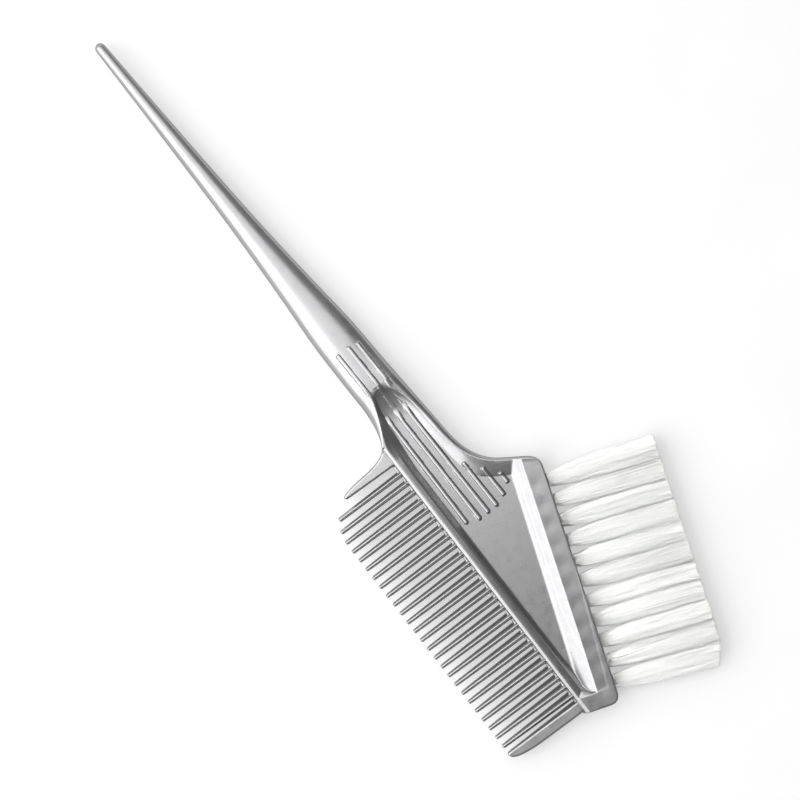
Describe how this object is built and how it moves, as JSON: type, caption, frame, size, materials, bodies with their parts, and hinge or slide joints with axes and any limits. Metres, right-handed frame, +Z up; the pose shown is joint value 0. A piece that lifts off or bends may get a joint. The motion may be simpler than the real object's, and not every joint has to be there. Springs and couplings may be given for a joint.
{
  "type": "tint brush",
  "caption": "Hair tint brush with a tapered tail handle, a comb along one edge of its flat head and a row of bristle tufts along the other.",
  "frame": {"origin": "centre of the brush's box in X and Y, on the flat surface it lies on", "axes": "+X along the handle from tail tip to head, +Y from the comb towards the bristles, +Z up through the thickness"},
  "size_m": [0.2324, 0.0836, 0.008],
  "materials": {
    "silver_plastic": "glossy metallic-pigmented silver-grey moulding",
    "bristle_nylon": "translucent white nylon filament",
    "anchor_wire": "drawn flat wire"
  },
  "bodies": {
    "root": {"handle_body": "silver_plastic", "comb_guard_inner": "silver_plastic", "comb_tooth_01": "silver_plastic", "comb_tooth_02": "silver_plastic", "comb_tooth_03": "silver_plastic", "comb_tooth_04": "silver_plastic", "comb_tooth_05": "silver_plastic", "comb_tooth_06": "silver_plastic", "comb_tooth_07": "silver_plastic", "comb_tooth_08": "silver_plastic", "comb_tooth_09": "silver_plastic", "comb_tooth_10": "silver_plastic", "comb_tooth_11": "silver_plastic", "comb_tooth_12": "silver_plastic", "comb_tooth_13": "silver_plastic", "comb_tooth_14": "silver_plastic", "comb_tooth_15": "silver_plastic", "comb_tooth_16": "silver_plastic", "comb_tooth_17": "silver_plastic", "comb_tooth_18": "silver_plastic", "comb_tooth_19": "silver_plastic", "comb_tooth_20": "silver_plastic", "comb_tooth_21": "silver_plastic", "comb_tooth_22": "silver_plastic", "comb_tooth_23": "silver_plastic", "comb_tooth_24": "silver_plastic", "comb_tooth_25": "silver_plastic", "comb_tooth_26": "silver_plastic", "comb_guard_outer": "silver_plastic", "bristle_tuft_01": "bristle_nylon", "tuft_anchor_01": "anchor_wire", "bristle_tuft_02": "bristle_nylon", "tuft_anchor_02": "anchor_wire", "bristle_tuft_03": "bristle_nylon", "tuft_anchor_03": "anchor_wire", "bristle_tuft_04": "bristle_nylon", "tuft_anchor_04": "anchor_wire", "bristle_tuft_05": "bristle_nylon", "tuft_anchor_05": "anchor_wire", "bristle_tuft_06": "bristle_nylon", "tuft_anchor_06": "anchor_wire", "bristle_tuft_07": "bristle_nylon", "tuft_anchor_07": "anchor_wire", "bristle_tuft_08": "bristle_nylon", "tuft_anchor_08": "anchor_wire", "bristle_tuft_09": "bristle_nylon", "tuft_anchor_09": "anchor_wire", "bristle_tuft_10": "bristle_nylon", "tuft_anchor_10": "anchor_wire", "bristle_tuft_11": "bristle_nylon", "tuft_anchor_11": "anchor_wire"}
  },
  "joints": []
}
